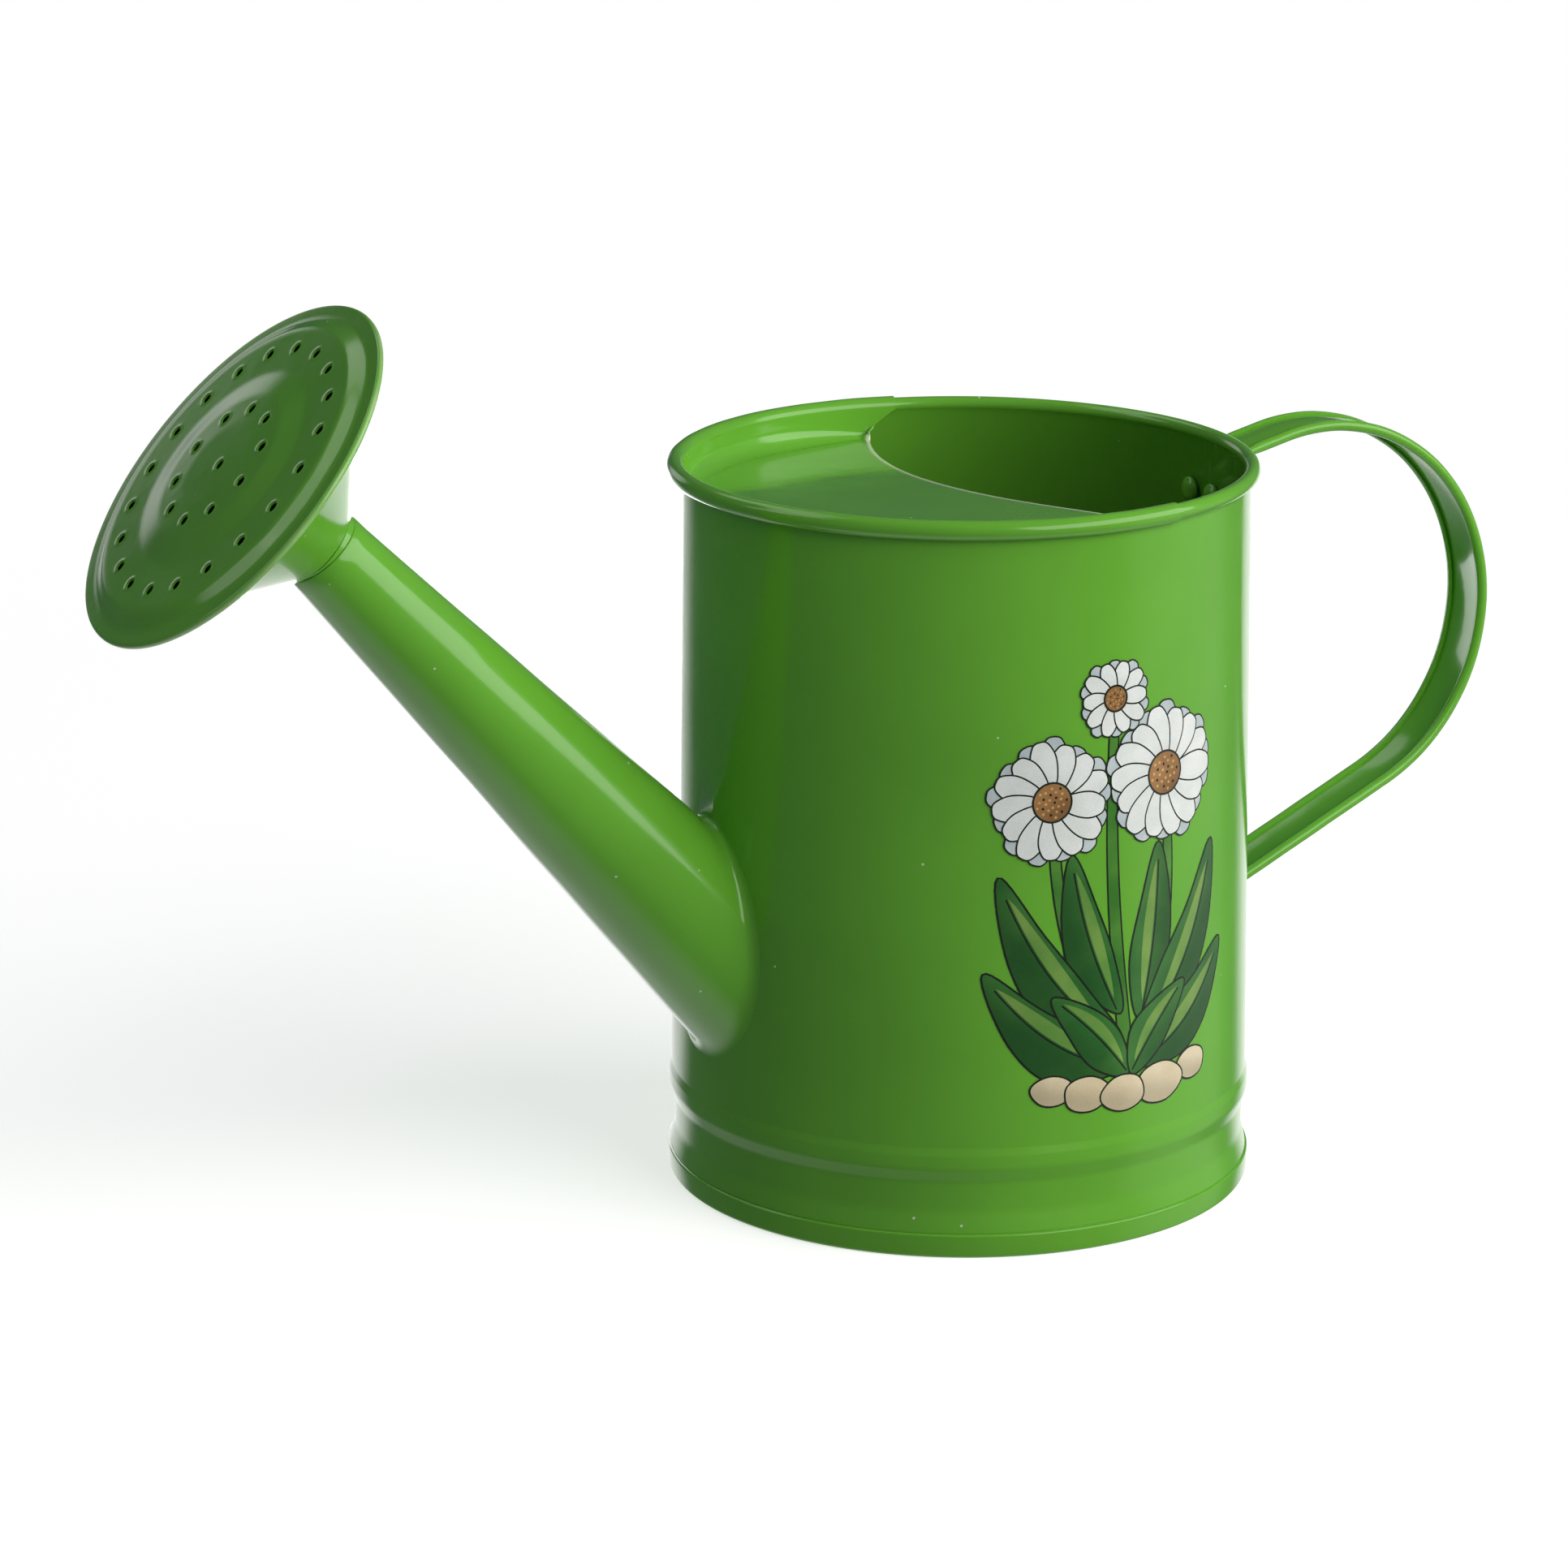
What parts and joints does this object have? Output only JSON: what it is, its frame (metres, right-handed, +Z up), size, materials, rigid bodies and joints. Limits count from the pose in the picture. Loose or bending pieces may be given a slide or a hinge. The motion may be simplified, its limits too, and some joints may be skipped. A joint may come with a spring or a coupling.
{
  "type": "watering can",
  "caption": "Small enamelled sheet-metal watering can with a half-covered mouth, a straight tapered spout, a pull-off sprinkler rose and a riveted strap handle.",
  "frame": {"origin": "on the ground, under the middle of the object's length and width", "axes": "+Z up; +X towards the handle, so the spout and rose point to -X; -Y is the side with the printed flowers"},
  "size_m": [0.3332, 0.13, 0.205],
  "materials": {
    "green_enamel": "gloss enamel over thin steel sheet",
    "printed_transfer": "printed film under clear gloss"
  },
  "bodies": {
    "can": {"body_wall": "green_enamel", "bottom_pan": "green_enamel", "half_cover": "green_enamel", "spout_tube": "green_enamel", "handle_strap": "green_enamel", "decal": "printed_transfer", "rivet_upper_front": "green_enamel", "rivet_upper_back": "green_enamel", "rivet_lower_front": "green_enamel", "rivet_lower_back": "green_enamel"},
    "rose_neck": {"rose_neck": "green_enamel"},
    "rose_head": {"rose_funnel": "green_enamel", "rose_face": "green_enamel"}
  },
  "joints": [
    {"name": "rose_pull", "type": "slide", "parent": "can", "child": "rose_neck", "axis": [-0.7466, 0, 0.6652], "range_m": [0, 0.03]},
    {"name": "rose_twist", "type": "hinge", "parent": "rose_neck", "child": "rose_head", "pos_m": [-0.12034, 0, 0.1573], "axis": [-0.7466, 0, 0.6652], "continuous": true}
  ]
}
